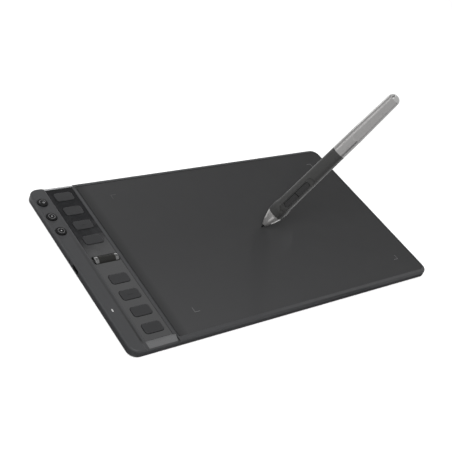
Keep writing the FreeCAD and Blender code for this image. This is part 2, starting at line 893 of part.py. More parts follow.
def make_key(index, place):
    """A press key: rounded cap, retaining flange under the panel, and a tactile bar on two of them."""
    body = new_body(f"press_key_{index}")
    across = around("controls_x", "key_length")
    along = around(key_middle(place), "key_depth")
    cap = new_sketch(body, offset="key_bottom")
    pad(body, draw_outline(cap, rounded(*across, *along, "key_radius")), "key_height - key_bottom")
    dress(body, "Fillet", "key_round", lambda box, edge: level(box, "key_height"))
    across = around("controls_x", "key_length", "key_flange")
    along = around(key_middle(place), "key_depth", "key_flange")
    flange = new_sketch(body, offset="flange_top")
    pad(body, draw_outline(flange, rounded(*across, *along, "key_radius")), "flange_thickness", down=True)
    if index in TACTILE_KEYS:
        bar = new_sketch(body, offset="key_height - tactile_rise")
        across = around("controls_x", "tactile_length")
        along = around(key_middle(place), "tactile_width")
        pad(body, draw_outline(bar, pill(across, along, "tactile_width")), "2 * tactile_rise")
    return body


def make_group_button(index):
    """A round button in the bar: cap, neck down to its dome, and two retaining tabs."""
    body = new_body(f"group_button_{index + 1}")
    y = f"group_y + {1 - index} * group_pitch"
    top = "bar_height + group_rise"
    cap = new_sketch(body, offset="bar_under + flange_gap")
    pad(body, draw_circle(cap, "group_x", y, "group_radius"), f"{top} - bar_under - flange_gap")
    dress(body, "Fillet", "group_round", lambda box, edge: level(box, top))
    neck = new_sketch(body, offset="key_bottom")
    pad(body, draw_circle(neck, "group_x", y, "group_neck"), "bar_under + flange_gap - key_bottom")
    tab = rectangle(*around("group_x", "group_tab_width"), *around(y, "group_tab_length"))
    tabs = new_sketch(body, offset="bar_under - flange_gap")
    pad(body, draw_outline(tabs, tab), "flange_thickness", down=True)
    return body


def make_wheel():
    """Scroll wheel: hub with axle and end caps, ribbed rubber grip, and a ring magnet in its end."""
    half = "wheel_length / 2"
    grip = "grip_length / 2"
    stub = "(cradle_length / 2 - axle_setback)"
    core = "wheel_radius - grip_wall"
    hub = new_body("wheel_hub")
    section = [
        (f"-{stub}", "0"),
        (f"-{stub}", "axle_radius"),
        (f"-{half} + magnet_thickness", "axle_radius"),
        (f"-{half} + magnet_thickness", "magnet_radius"),
        (f"-{half}", "magnet_radius"),
        (f"-{half}", "wheel_radius - cap_round"),
        (f"-{half} + cap_round", "wheel_radius"),
        (f"-{grip}", "wheel_radius"),
        (f"-{grip}", core),
        (grip, core),
        (grip, "wheel_radius"),
        (f"{half} - cap_round", "wheel_radius"),
        (half, "wheel_radius - cap_round"),
        (half, "axle_radius"),
        (stub, "axle_radius"),
        (stub, "0"),
    ]
    turn(hub, draw_outline(new_sketch(hub, "XZ_Plane"), section), axis="H_Axis")
    place_wheel(hub)

    rubber = new_body("wheel_grip")
    section = rectangle(f"-{grip}", grip, core, "wheel_radius")
    turn(rubber, draw_outline(new_sketch(rubber, "XZ_Plane"), section), axis="H_Axis")
    side = new_sketch(rubber, "YZ_Plane", f"-{grip}")
    groove = pocket(rubber, draw_circle(side, "0", "wheel_radius", "grip_groove"), "grip_length", up=True)
    grooves = rubber.newObject("PartDesign::PolarPattern", "PolarPattern")
    axle = next(f for f in rubber.Origin.OriginFeatures if f.Role == "X_Axis")
    grooves.Originals = [groove]
    grooves.Axis = (axle, [""])
    grooves.Angle = TURN
    grooves.Occurrences = GROOVE_COUNT
    rubber.Tip = grooves
    place_wheel(rubber)

    magnet = new_body("wheel_magnet")
    section = rectangle(
        f"-{half}", f"-{half} + magnet_thickness", "axle_radius + screw_gap", "magnet_radius - screw_gap"
    )
    turn(magnet, draw_outline(new_sketch(magnet, "XZ_Plane"), section), axis="H_Axis")
    place_wheel(magnet)


def place_wheel(body):
    bind(body, ".Placement.Base.x", "controls_x")
    bind(body, ".Placement.Base.y", "wheel_y")
    bind(body, ".Placement.Base.z", "wheel_axis_height")
    document.recompute()


def slab(name, across, along, bottom, thickness):
    """A plain flat piece."""
    body = new_body(name)
    pad(body, draw_outline(new_sketch(body, offset=bottom), rectangle(*across, *along)), thickness)
    return body


def make_cradle():
    """Frame under the panel whose two ears carry the wheel's axle."""
    body = slab(
        "wheel_cradle",
        around("controls_x", "cradle_length"),
        around("wheel_y", "cradle_depth"),
        "cradle_bottom",
        "seat_height - cradle_bottom",
    )
    inside = rectangle(
        *around("controls_x", "cradle_length", "-cradle_wall"),
        *around("wheel_y", "cradle_depth", "-cradle_wall"),
    )
    pocket(body, draw_outline(new_sketch(body, offset="seat_height"), inside), "seat_height")
    side = new_sketch(body, "YZ_Plane", f"controls_x - cradle_length / 2 - {MARGIN}")
    bore = draw_circle(side, "wheel_y", "wheel_axis_height", "axle_radius + axle_play")
    pocket(body, bore, f"cradle_length + 2 * {MARGIN}", up=True)


def make_main_board():
    """Circuit board under the bar and the channel, with room for the wheel, the socket and a boss."""
    board = slab(
        "main_board",
        ("board_left", "board_right"),
        ("board_front", "board_rear"),
        "board_under",
        "board_thickness",
    )
    across = around("controls_x", "cradle_length", "panel_gap")
    along = around("wheel_y", "cradle_depth", "panel_gap")
    top = new_sketch(board, offset="board_top")
    pocket(board, draw_outline(top, rectangle(*across, *along)), "board_thickness")
    across = (f"board_left - {MARGIN}", "socket_end + panel_gap")
    along = around("port_y", "socket_length", "panel_gap")
    top = new_sketch(board, offset="board_top")
    pocket(board, draw_outline(top, rectangle(*across, *along)), "board_thickness")
    top = new_sketch(board, offset="board_top")
    pocket(board, draw_circle(top, "-screw_x", "screw_y", "boss_radius + window_gap"), "board_thickness")

    across = around("(board_left + board_right) / 2", "chip_length")
    along = around("chip_y", "chip_length")
    slab("controller_chip", across, along, "board_under - chip_thickness", "chip_thickness")
    left = "controls_x - cradle_length / 2 - panel_gap - sensor_chip_length"
    across = (left, f"{left} + sensor_chip_length")
    along = around("wheel_y", "sensor_chip_length")
    slab("wheel_sensor", across, along, "board_under - sensor_chip_thickness", "sensor_chip_thickness")
    across = around("light_x", "lamp_width")
    slab("status_lamp", across, around("light_y", "lamp_length"), "board_top", "lamp_thickness")
    make_domes()


def make_domes():
    """A switch dome under each press key and each round button."""
    body = new_body("switch_domes")
    for place in (-1, 1):
        round_base = draw_circle(
            new_sketch(body, offset="board_top"), "controls_x", key_middle(place), "dome_radius"
        )
        dome = pad(body, round_base, "dome_height")
        repeat(body, dome, "Y_Axis", "key_pitch", KEY_COUNT_A_SIDE, back=place < 0)
    round_base = draw_circle(
        new_sketch(body, offset="board_top"), "group_x", "group_y - group_pitch", "dome_radius"
    )
    dome = pad(body, round_base, "dome_height")
    repeat(body, dome, "Y_Axis", "group_pitch", GROUP_COUNT)
    dress(body, "Chamfer", "dome_chamfer", lambda box, edge: level(box, "dome_top"))


def make_light_pipe():
    body = new_body("light_pipe")
    bottom = "board_top + lamp_thickness + flange_gap"
    plan = pill(around("light_x", "light_width"), around("light_y", "light_length"), "light_width")
    pad(body, draw_outline(new_sketch(body, offset=bottom), plan), f"bar_height - ({bottom})")


def make_socket():
    """Type C socket in the left wall: rolled shell, closed at its back, and the contact tongue."""
    body = new_body("usb_socket")
    along = around("port_y", "socket_length")
    height = around("port_height", "socket_thickness")
    side = new_sketch(body, "YZ_Plane", "left_edge + socket_inset")
    pad(body, draw_outline(side, pill(along, height, "socket_thickness")), "socket_reach")
    along = around("port_y", "socket_length", "-socket_wall")
    height = around("port_height", "socket_thickness", "-socket_wall")
    side = new_sketch(body, "YZ_Plane", "left_edge + socket_inset")
    mouth = draw_outline(side, rounded(*along, *height, f"(socket_thickness * {END_ROUND} - socket_wall)"))
    pocket(body, mouth, "socket_reach - socket_wall", up=True)

    tongue = new_body("usb_tongue")
    section = rectangle(*around("port_y", "tongue_width"), *around("port_height", "tongue_thickness"))
    side = new_sketch(tongue, "YZ_Plane", "socket_end - socket_wall - tongue_reach")
    pad(tongue, draw_outline(side, section), "tongue_reach")


def make_antenna():
    """Pen-sensing board under the drawing area, its shield and the ribbon to the main board."""
    along = ("antenna_front", "antenna_rear")
    slab("antenna_board", ("antenna_left", "antenna_right"), along, "antenna_under", "antenna_thickness")
    across = ("antenna_left + shield_setback", "antenna_right")
    slab("shield_sheet", across, along, "shield_under", "shield_thickness")
    ribbon = new_body("antenna_ribbon")
    side = new_sketch(ribbon, "XZ_Plane", "-ribbon_y")
    top = [
        ("antenna_left + ribbon_overlap", "antenna_under"),
        ("antenna_left", "antenna_under"),
        ("board_right", "board_under"),
        ("board_right - ribbon_overlap", "board_under"),
    ]
    under = [(x, f"{z} - ribbon_thickness") for x, z in reversed(top)]
    pad(ribbon, draw_outline(side, top + under), "ribbon_width")


def place_pen(body):
    """Stand the pen's piece on the sheet as a hand would hold it, leaning over to the right."""
    z_axis = FreeCAD.Vector(0, 0, 1)
    heading = FreeCAD.Rotation(z_axis, SIZES["pen_heading"])
    lean = FreeCAD.Rotation(FreeCAD.Vector(0, 1, 0), SIZES["pen_lean"])
    roll = FreeCAD.Rotation(z_axis, SIZES["pen_roll"])
    body.Placement = FreeCAD.Placement(FreeCAD.Vector(), heading * lean * roll)
    bind(body, ".Placement.Base.x", "pen_tip_x")
    bind(body, ".Placement.Base.y", "pen_tip_y")
    bind(body, ".Placement.Base.z", "sheet_height + pen_tip_gap")
    document.recompute()
    return body


def revolve_pen_piece(name, section):
    """A round piece of the pen from its half section: (distance from the axis, height above the tip)."""
    body = new_body(name)
    turn(body, draw_outline(new_sketch(body, "XZ_Plane"), section))
    return body


def make_pen_front():
    """Nib, its holder, the nose cone, and the coil on its ferrite core inside the cone."""
    nib = [
        ("0", "0"),
        ("nib_point", "nib_point", "nib_point"),
        ("nib_radius", "nib_point + nib_radius"),
        ("nib_radius", "nib_length"),
        ("0", "nib_length"),
    ]
    place_pen(revolve_pen_piece("pen_nib", nib))
    socket = "nib_radius + spigot_gap"
    holder = [
        (socket, "holder_end - holder_length"),
        ("holder_radius", "holder_end - holder_length"),
        ("holder_radius", "holder_end"),
        ("0", "holder_end"),
        ("0", "nib_length + spigot_gap"),
        (socket, "nib_length + spigot_gap"),
    ]
    place_pen(revolve_pen_piece("nib_holder", holder))
    cone = [
        ("nose_bore", "nose_start"),
        ("nose_mouth", "nose_start"),
        ("nose_waist_radius", "nose_waist"),
        ("nose_radius", "nose_end", "nose_curve"),
        ("grip_bore - spigot_gap", "nose_end"),
        ("grip_bore - spigot_gap", "nose_end + spigot_length"),
        ("nose_room", "nose_end + spigot_length"),
        ("nose_room", "nose_room_start"),
        ("nose_bore", "nose_room_start"),
    ]
    place_pen(revolve_pen_piece("pen_nose_cone", cone))
    ferrite_end = "ferrite_start + ferrite_length"
    ferrite = rectangle("nose_bore", "ferrite_radius", "ferrite_start", ferrite_end)
    place_pen(revolve_pen_piece("ferrite_core", ferrite))
    coil = rectangle(
        "ferrite_radius + spigot_gap",
        "coil_radius",
        "ferrite_start + coil_margin",
        f"{ferrite_end} - coil_margin",
    )
    place_pen(revolve_pen_piece("sensing_coil", coil))
    sensor = rectangle("0", "sensor_radius", "sensor_start", "sensor_start + sensor_length")
    place_pen(revolve_pen_piece("pressure_sensor", sensor))


def make_pen_grip():
    """Grip shell: swelling at the front, with a flat recess and a slot for the two side buttons."""
    section = [
        ("grip_bore", "nose_end"),
        ("nose_radius", "nose_end"),
        ("grip_swell_radius", "grip_swell", "grip_swell_curve"),
        ("grip_neck_radius", "grip_neck", "grip_swell_curve"),
        ("grip_middle_radius", "grip_middle"),
        ("grip_end_radius", "grip_end"),
        ("grip_bore", "grip_end"),
    ]
    body = revolve_pen_piece("pen_grip", section)
    across = around("0", "recess_width")
    recess = pill(across, ("recess_start", "recess_start + recess_length"), "recess_width")
    pocket(body, draw_outline(new_sketch(body, "YZ_Plane", "recess_level"), recess), f"{MARGIN}", up=True)
    across = around("0", "button_width", "button_gap")
    along = ("button_start - button_gap", "button_pair_end + button_gap")
    slot = rounded(*across, *along, "(button_corner + button_gap)")
    pocket(body, draw_outline(new_sketch(body, "YZ_Plane"), slot), f"recess_level + {MARGIN}", up=True)
    place_pen(body)


def make_pen_button(name, front):
    """One of the two side buttons: round at its outer end, with a tab that holds it in the slot."""
    body = new_body(name)
    left, right = around("0", "button_width")
    corner = "button_corner"
    if front:
        low, high = "button_start", "button_start + button_length"
        plan = [
            (right, high),
            (left, high),
            (left, f"{low} + {corner}"),
            (f"{left} + {corner}", low, corner),
            (f"{right} - {corner}", low),
            (right, f"{low} + {corner}", corner),
        ]
        tab_along = (f"{low} - button_tab", high)
    else:
        low, high = "button_pair_end - button_length", "button_pair_end"
        plan = [
            (left, low),
            (right, low),
            (right, f"{high} - {corner}"),
            (f"{right} - {corner}", high, corner),
            (f"{left} + {corner}", high),
            (left, f"{high} - {corner}", corner),
        ]
        tab_along = (low, f"{high} + button_tab")
    cap = draw_outline(new_sketch(body, "YZ_Plane", "button_bottom"), plan)
    pad(body, cap, "button_top - button_bottom")
    top = number("button_top")
    dress(body, "Fillet", "button_edge", lambda box, edge: box.XMin > top - CLOSE)
    tab = rectangle(*around("0", "button_tab_width"), *tab_along)
    tab = draw_outline(new_sketch(body, "YZ_Plane", "button_bottom"), tab)
    pad(body, tab, "flange_thickness")
    place_pen(body)


def make_pen_board():
    """Circuit board inside the grip and a switch under each side button."""
    board = new_body("pen_board")
    along = ("pen_board_start", "pen_board_start + pen_board_length")
    plan = rectangle(*around("0", "pen_board_width"), *along)
    pad(board, draw_outline(new_sketch(board, "YZ_Plane", "pen_board_level"), plan), "board_thickness")
    place_pen(board)
    switches = new_body("pen_switches")
    middle = "button_start + button_length / 2"
    plan = rectangle(*around("0", "switch_width"), *around(middle, "switch_width"))
    first = draw_outline(new_sketch(switches, "YZ_Plane", "pen_board_top"), plan)
    first = pad(switches, first, "switch_height")
    repeat(switches, first, "Z_Axis", "button_length + button_split", 2)
    place_pen(switches)


def cut_facet(body):
    """The flat that runs along the barrel to its end, with a scooped start."""
    outside = f"barrel_mid_radius + {MARGIN}"
    section = [
        (outside, "facet_start"),
        (outside, "pen_length"),
        ("barrel_end_radius - facet_depth", "pen_length"),
        ("barrel_mid_radius - facet_depth", "facet_start + facet_run"),
        ("barrel_mid_radius + facet_depth / 2", "facet_start", "-facet_curve"),
    ]
    side = new_sketch(body, "XZ_Plane", f"-grip_end_radius - {MARGIN}")
    pocket(body, draw_outline(side, section), f"2 * grip_end_radius + 2 * {MARGIN}", up=True)


def make_pen_rear():
    """Barrel with its flat, and the polished end cap."""
    barrel = [
        ("barrel_bore", "grip_end - spigot_length"),
        ("grip_bore - spigot_gap", "grip_end - spigot_length"),
        ("grip_bore - spigot_gap", "grip_end"),
        ("grip_end_radius", "grip_end"),
        ("barrel_mid_radius", "barrel_mid"),
        ("barrel_end_radius", "cap_start"),
        ("cap_spigot_radius + spigot_gap", "cap_start"),
        ("cap_spigot_radius + spigot_gap", "barrel_bore_end"),
        ("barrel_bore", "barrel_bore_end"),
    ]
    body = revolve_pen_piece("pen_barrel", barrel)
    cut_facet(body)
    place_pen(body)
    cap = [
        ("0", "cap_start - cap_spigot_length"),
        ("cap_spigot_radius", "cap_start - cap_spigot_length"),
        ("cap_spigot_radius", "cap_start"),
        ("barrel_end_radius", "cap_start"),
        ("cap_tip_radius", "pen_length", "cap_curve"),
        ("0", "pen_length"),
    ]
    body = revolve_pen_piece("pen_end_cap", cap)
    cut_facet(body)
    place_pen(body)


make_top_cover()
make_bottom_cover()
make_feet()
make_screws()
make_sheet()
make_panel()
make_trims()
for index, place in enumerate(KEY_PLACES, start=1):
    make_key(index, place)
for index in range(GROUP_COUNT):
    make_group_button(index)
make_wheel()
make_cradle()
make_main_board()
make_light_pipe()
make_socket()
make_antenna()
make_pen_front()
make_pen_grip()
make_pen_button("pen_button_front", front=True)
make_pen_button("pen_button_rear", front=False)
make_pen_board()
make_pen_rear()


def check_and_write():
    """Stop if anything failed, then write one file for each piece."""
    document.recompute()
    for thing in document.Objects:
        if "Invalid" in thing.State or "Error" in thing.State:
            raise RuntimeError(f"{thing.Label} has failed: {thing.getStatusString()}")
    os.makedirs("parts", exist_ok=True)
    for piece in pieces:
        shape = piece.Shape
        if shape.isNull() or not shape.isValid():
            raise RuntimeError(f"{piece.Label} has no valid shape")
        shape.exportStep(f"parts/{piece.Label}.step")
        print(piece.Label, len(shape.Solids), round(shape.Volume, 1))


check_and_write()
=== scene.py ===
import json
import math

import bmesh
import bpy
from mathutils import Matrix, Vector


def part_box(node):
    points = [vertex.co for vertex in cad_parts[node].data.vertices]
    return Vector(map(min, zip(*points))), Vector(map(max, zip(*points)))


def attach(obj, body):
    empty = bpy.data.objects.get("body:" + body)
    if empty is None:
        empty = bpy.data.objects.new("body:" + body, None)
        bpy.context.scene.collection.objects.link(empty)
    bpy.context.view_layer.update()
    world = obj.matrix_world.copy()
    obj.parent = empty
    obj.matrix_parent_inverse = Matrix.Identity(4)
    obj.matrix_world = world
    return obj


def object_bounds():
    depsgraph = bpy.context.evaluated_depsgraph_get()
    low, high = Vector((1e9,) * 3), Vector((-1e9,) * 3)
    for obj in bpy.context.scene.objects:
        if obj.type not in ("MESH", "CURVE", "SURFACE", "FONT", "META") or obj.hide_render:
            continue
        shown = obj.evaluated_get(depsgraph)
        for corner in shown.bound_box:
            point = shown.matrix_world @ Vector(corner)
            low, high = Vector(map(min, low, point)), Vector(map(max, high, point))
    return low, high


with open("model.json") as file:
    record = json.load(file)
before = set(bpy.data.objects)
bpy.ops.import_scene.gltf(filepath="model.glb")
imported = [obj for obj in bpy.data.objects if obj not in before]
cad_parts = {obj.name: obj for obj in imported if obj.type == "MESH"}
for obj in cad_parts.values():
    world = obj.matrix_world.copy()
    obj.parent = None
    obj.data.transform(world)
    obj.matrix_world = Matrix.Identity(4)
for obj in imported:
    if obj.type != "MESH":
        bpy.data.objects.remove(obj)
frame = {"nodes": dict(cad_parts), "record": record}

# Looks of a pen tablet and its pen, in metres. The origin is the middle of the tablet's footprint
# on the table, X runs to the right and Y to the back.

MM = 0.001
cad_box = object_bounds()

# Camera, fitted to the corners of the tablet in the photograph and then to its whole outline:
# the picture's width in pixels, the sensor's in millimetres, and how near and far it sees
PICTURE = 452
SENSOR = 36.0
CLIP = (0.01, 50.0)
FOCAL_PIXELS = 904.8
CAMERA_PLACE = Vector((-0.48499, -0.40266, 0.48426))
CAMERA_RIGHT = Vector((0.78315944, -0.53363591, 0.31920842))
CAMERA_UP = Vector((0.15467237, 0.66438747, 0.73120842))
CAMERA_AHEAD = Vector((0.60227714, 0.52328005, -0.60286005))

# Places that marks, painted shade and reflections start from
SHEET_LOW, SHEET_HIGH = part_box("drawing_sheet")
PANEL_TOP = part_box("key_panel")[1].z
WHEEL_LOW, WHEEL_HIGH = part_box("wheel_hub")
PEN_TIP = Vector((0.0255, 0.002, 0.0073))
PEN_AXIS = Vector((0.420497, -0.099401, 0.901833))


def look_camera():
    data = bpy.data.cameras.new("camera")
    data.sensor_width = SENSOR
    data.lens = FOCAL_PIXELS * SENSOR / PICTURE
    data.clip_start, data.clip_end = CLIP
    camera = bpy.data.objects.new("camera", data)
    turn = Matrix((CAMERA_RIGHT, CAMERA_UP, -CAMERA_AHEAD)).transposed()
    camera.matrix_world = Matrix.Translation(CAMERA_PLACE) @ turn.to_4x4()
    bpy.context.scene.collection.objects.link(camera)
    bpy.context.scene.camera = camera


def pixel_ray(x, y):
    """The direction in which the camera sees a pixel of the photograph."""
    middle = PICTURE / 2
    across = (x - middle) / FOCAL_PIXELS
    down = (y - middle) / FOCAL_PIXELS
    return (CAMERA_AHEAD + across * CAMERA_RIGHT - down * CAMERA_UP).normalized()


def on_level(x, y, height):
    """The point at a height that the camera sees at a pixel."""
    ray = pixel_ray(x, y)
    return CAMERA_PLACE + ray * ((height - CAMERA_PLACE.z) / ray.z)


# Nearly all of a noise lies between these two values
NOISE_LOW, NOISE_HIGH = 0.3, 0.7


class Surface:
    """A procedural material: a Principled shader with textures in the piece's own coordinates."""

    def __init__(self, name, colour, roughness, metallic=0.0, specular=0.5, coat=0.0):
        self.material = bpy.data.materials.new(name)
        self.material.use_nodes = True
        self.nodes = self.material.node_tree.nodes
        self.links = self.material.node_tree.links
        self.shader = self.nodes["Principled BSDF"]
        self.colour = colour
        self.roughness = roughness
        self.shader.inputs["Base Color"].default_value = (*colour, 1.0)
        self.shader.inputs["Roughness"].default_value = roughness
        self.shader.inputs["Metallic"].default_value = metallic
        self.shader.inputs["Specular IOR Level"].default_value = specular
        self.shader.inputs["Coat Weight"].default_value = coat
        self.place = self.nodes.new("ShaderNodeTexCoord").outputs["Object"]

    def stretched(self, factors):
        """The place, scaled along each axis of the piece."""
        mapping = self.nodes.new("ShaderNodeMapping")
        mapping.inputs["Scale"].default_value = factors
        self.links.new(self.place, mapping.inputs["Vector"])
        return mapping.outputs["Vector"]

    def noise(self, size, detail=2.0, place=None):
        """Noise whose patches are about this size."""
        node = self.nodes.new("ShaderNodeTexNoise")
        node.inputs["Scale"].default_value = 1.0 / size
        node.inputs["Detail"].default_value = detail
        self.links.new(place or self.place, node.inputs["Vector"])
        return node.outputs["Fac"]

    def along(self, axis):
        """The place along an axis of the piece, in metres."""
        split = self.nodes.new("ShaderNodeSeparateXYZ")
        self.links.new(self.place, split.inputs["Vector"])
        return split.outputs[axis]

    def ranged(self, fac, low, high, start=NOISE_LOW, end=NOISE_HIGH):
        """Goes from low to high while a value goes from its start to its end."""
        node = self.nodes.new("ShaderNodeMapRange")
        node.inputs["From Min"].default_value = start
        node.inputs["From Max"].default_value = end
        node.inputs["To Min"].default_value = low
        node.inputs["To Max"].default_value = high
        self.links.new(fac, node.inputs["Value"])
        return node.outputs["Result"]

    def product(self, one, other):
        node = self.nodes.new("ShaderNodeMath")
        node.operation = "MULTIPLY"
        self.links.new(one, node.inputs[0])
        self.links.new(other, node.inputs[1])
        return node.outputs["Value"]

    def shade(self, fac, low, high, start=NOISE_LOW, end=NOISE_HIGH):
        """The base colour goes from one multiple of itself to another."""
        node = self.nodes.new("ShaderNodeMix")
        node.data_type = "RGBA"
        node.inputs["A"].default_value = (*(c * low for c in self.colour), 1.0)
        node.inputs["B"].default_value = (*(c * high for c in self.colour), 1.0)
        self.links.new(self.ranged(fac, 0.0, 1.0, start, end), node.inputs["Factor"])
        self.links.new(node.outputs["Result"], self.shader.inputs["Base Color"])

    def vary(self, fac, spread):
        """The base colour varies by a share of itself."""
        self.shade(fac, 1 - spread, 1 + spread)

    def darken(self, fac, least):
        """A base colour that is shaded already goes down to a share of itself where fac is one."""
        colour = self.shader.inputs["Base Color"]
        node = self.nodes.new("ShaderNodeMix")
        node.data_type = "RGBA"
        node.blend_type = "MULTIPLY"
        node.inputs["B"].default_value = (least, least, least, 1.0)
        self.links.new(fac, node.inputs["Factor"])
        self.links.new(colour.links[0].from_socket, node.inputs["A"])
        self.links.new(node.outputs["Result"], colour)

    def uneven(self, fac, spread):
        """The roughness varies by a spread about its value."""
        made = self.ranged(fac, self.roughness - spread, self.roughness + spread)
        self.links.new(made, self.shader.inputs["Roughness"])

    def bump(self, fac, height, edge=0.0):
        """Relief of a real height, on edges that are softened by a small radius."""
        node = self.nodes.new("ShaderNodeBump")
        node.inputs["Strength"].default_value = 1.0
        node.inputs["Distance"].default_value = height
        self.links.new(fac, node.inputs["Height"])
        if edge:
            bevel = self.nodes.new("ShaderNodeBevel")
            bevel.inputs["Radius"].default_value = edge
            self.links.new(bevel.outputs["Normal"], node.inputs["Normal"])
        self.links.new(node.outputs["Normal"], self.shader.inputs["Normal"])

    def glow(self, colour, strength):
        self.shader.inputs["Emission Color"].default_value = (*colour, 1.0)
        self.shader.inputs["Emission Strength"].default_value = strength


def moulded(name, colour, roughness, grain, height, edge=0.0, specular=0.5):
    """Moulded plastic or rubber: a fine grain, and slow drifts of tone and sheen."""
    made = Surface(name, colour, roughness, specular=specular)
    made.vary(made.noise(size=40 * MM, detail=3.0), spread=0.05)
    made.uneven(made.noise(size=6 * MM, detail=3.0), spread=0.04)
    made.bump(made.noise(grain), height, edge)
    return made


# Fine lines on metal: their pitch and depth, and the spread of the roughness across them
LINE_PITCH = 0.4 * MM
LINE_DEPTH = 0.004 * MM
LINE_SPREAD = 0.06


def brushed(name, colour, roughness, along, spread=LINE_SPREAD, edge=0.0):
    """Metal with fine lines; along holds how much finer they are in X, Y and Z."""
    made = Surface(name, colour, roughness, metallic=1.0)
    lines = made.noise(LINE_PITCH, place=made.stretched(along))
    made.vary(lines, spread=0.08)
    made.uneven(lines, spread)
    made.bump(lines, LINE_DEPTH, edge)
    return made


# The moulded and the brushed slots. A grain has a size and a height, an edge a softened radius.
MOULDED = {
    "foot_rubber": dict(
        name="foot_rubber", colour=(0.014, 0.014, 0.014), roughness=0.8,
        grain=0.5 * MM, height=0.03 * MM,
    ),
    "panel_gloss": dict(
        name="panel", colour=(0.022, 0.0224, 0.0236), roughness=0.12, specular=0.62,
        grain=1.5 * MM, height=0.0005 * MM, edge=0.1 * MM,
    ),
    "key_gloss": dict(
        name="key", colour=(0.0195, 0.0198, 0.0211), roughness=0.4, specular=0.22,
        grain=0.3 * MM, height=0.005 * MM, edge=0.12 * MM,
    ),
    "button_dark": dict(
        name="button", colour=(0.0045, 0.0047, 0.005), roughness=0.33, specular=0.12,
        grain=0.4 * MM, height=0.003 * MM, edge=0.12 * MM,
    ),
    "wheel_rubber": dict(
        name="wheel_rubber", colour=(0.012, 0.0118, 0.0108), roughness=0.55, specular=0.2,
        grain=0.25 * MM, height=0.008 * MM,
    ),
    "magnet_grey": dict(
        name="magnet", colour=(0.09, 0.09, 0.09), roughness=0.5,
        grain=0.3 * MM, height=0.01 * MM,
    ),
    "inner_plastic": dict(
        name="inner_plastic", colour=(0.012, 0.012, 0.0125), roughness=0.5,
        grain=0.3 * MM, height=0.01 * MM,
    ),
    "chip_black": dict(
        name="chip", colour=(0.012, 0.012, 0.012), roughness=0.55,
        grain=0.2 * MM, height=0.006 * MM,
    ),
    "ribbon_amber": dict(
        name="ribbon", colour=(0.35, 0.16, 0.03), roughness=0.3,
        grain=0.6 * MM, height=0.004 * MM,
    ),
    "nib_black": dict(
        name="nib", colour=(0.006, 0.006, 0.006), roughness=0.5, specular=0.2,
        grain=0.15 * MM, height=0.006 * MM,
    ),
    "pen_button_gloss": dict(
        name="pen_button", colour=(0.017, 0.017, 0.0174), roughness=0.32, specular=0.25,
        grain=0.3 * MM, height=0.003 * MM, edge=0.1 * MM,
    ),
}
BRUSHED = {
    "screw_steel": dict(
        name="screw_steel", colour=(0.42, 0.42, 0.43), roughness=0.35, along=(1, 1, 4)
    ),
    "wheel_silver": dict(
        name="wheel_cap", colour=(0.15, 0.15, 0.15), roughness=0.2, along=(4, 0.05, 0.05),
        spread=0.02, edge=0.1 * MM,
    ),
    "spring_steel": dict(
        name="spring_steel", colour=(0.55, 0.55, 0.55), roughness=0.3, along=(1, 1, 1)
    ),
    "socket_steel": dict(
        name="socket_steel", colour=(0.12, 0.12, 0.122), roughness=0.35, along=(0.2, 2, 2)
    ),
    "shield_metal": dict(
        name="shield_metal", colour=(0.5, 0.5, 0.5), roughness=0.4, along=(0.1, 2, 2)
    ),
    "coil_copper": dict(
        name="coil_copper", colour=(0.6, 0.25, 0.1), roughness=0.3, along=(0.3, 0.3, 5)
    ),
}


def make_materials():
    """Every CAD node gets the material of its slot."""
    surfaces = {
        "housing_dark": housing_surface(),
        "drawing_surface": sheet_surface(),
        "trim_silver": trim_surface(),
        "circuit_board": board_surface(),
        "light_white": lamp_surface(),
        "pen_grip_dark": grip_surface(),
        "pen_silver": painted_silver("pen_silver", (0.262, 0.2575, 0.255), 0.3, 0.5),
        "pen_silver_bright": painted_silver(
            "pen_silver_bright", (0.38, 0.38, 0.376), 0.16, 0.9
        ),
    }
    surfaces.update({slot: moulded(**looks) for slot, looks in MOULDED.items()})
    surfaces.update({slot: brushed(**looks) for slot, looks in BRUSHED.items()})
    slots = {row["node"]: row["material_slot"] for row in frame["record"]["subparts"]}
    for name, node in frame["nodes"].items():
        node.data.materials.clear()
        node.data.materials.append(surfaces[slots[name]].material)


# The hollow along the bar's right shoulder, where shade is painted into the housing's colour: from
# its left to its right, from its front to its rear and in height, and the share of the tone that
# the painted shade leaves
SCOOP_SIDES = (-151.9 * MM, -151.2 * MM, -149.8 * MM, -149.0 * MM)
SCOOP_ENDS = (-85 * MM, -81 * MM, 60 * MM)
SCOOP_LEVELS = (6.6 * MM, 6.8 * MM)
SCOOP_PAINTED_SHADE = 0.05


def housing_surface():
    """Moulded plastic, with painted shade that darkens it in the hollow along the bar's right
    shoulder.
    """
    made = moulded(
        "housing", colour=(0.0325, 0.0331, 0.035), roughness=0.5, specular=0.3,
        grain=0.25 * MM, height=0.01 * MM, edge=0.25 * MM,
    )
    left, inner_left, inner_right, right = SCOOP_SIDES
    front, inner_front, rear = SCOOP_ENDS
    limits = [
        made.ranged(made.along("X"), 0.0, 1.0, left, inner_left),
        made.ranged(made.along("X"), 1.0, 0.0, inner_right, right),
        made.ranged(made.along("Y"), 0.0, 1.0, front, inner_front),
        made.ranged(made.along("Y"), 1.0, 0.0, inner_front, rear),
        made.ranged(made.along("Z"), 0.0, 1.0, *SCOOP_LEVELS),
    ]
    scoop_shade_mask = limits[0]
    for limit in limits[1:]:
        scoop_shade_mask = made.product(scoop_shade_mask, limit)
    # painted shade: the colour in the hollow is darkened
    made.darken(scoop_shade_mask, SCOOP_PAINTED_SHADE)
    return made


# How far the painted shade beside the ridge reaches over the film, and the share of its tone that
# is left there
RIDGE_REACH = 9 * MM
RIDGE_PAINTED_SHADE = 0.6
# Painted shade for the lights' falloff across the film: where it runs, and the share of the tone
# that is left at its right and at its rear
FILM_PAINTED_FALLOFF_X = (-110 * MM, 150 * MM, 0.744)
FILM_PAINTED_FALLOFF_Y = (-80 * MM, 10 * MM, 0.84)


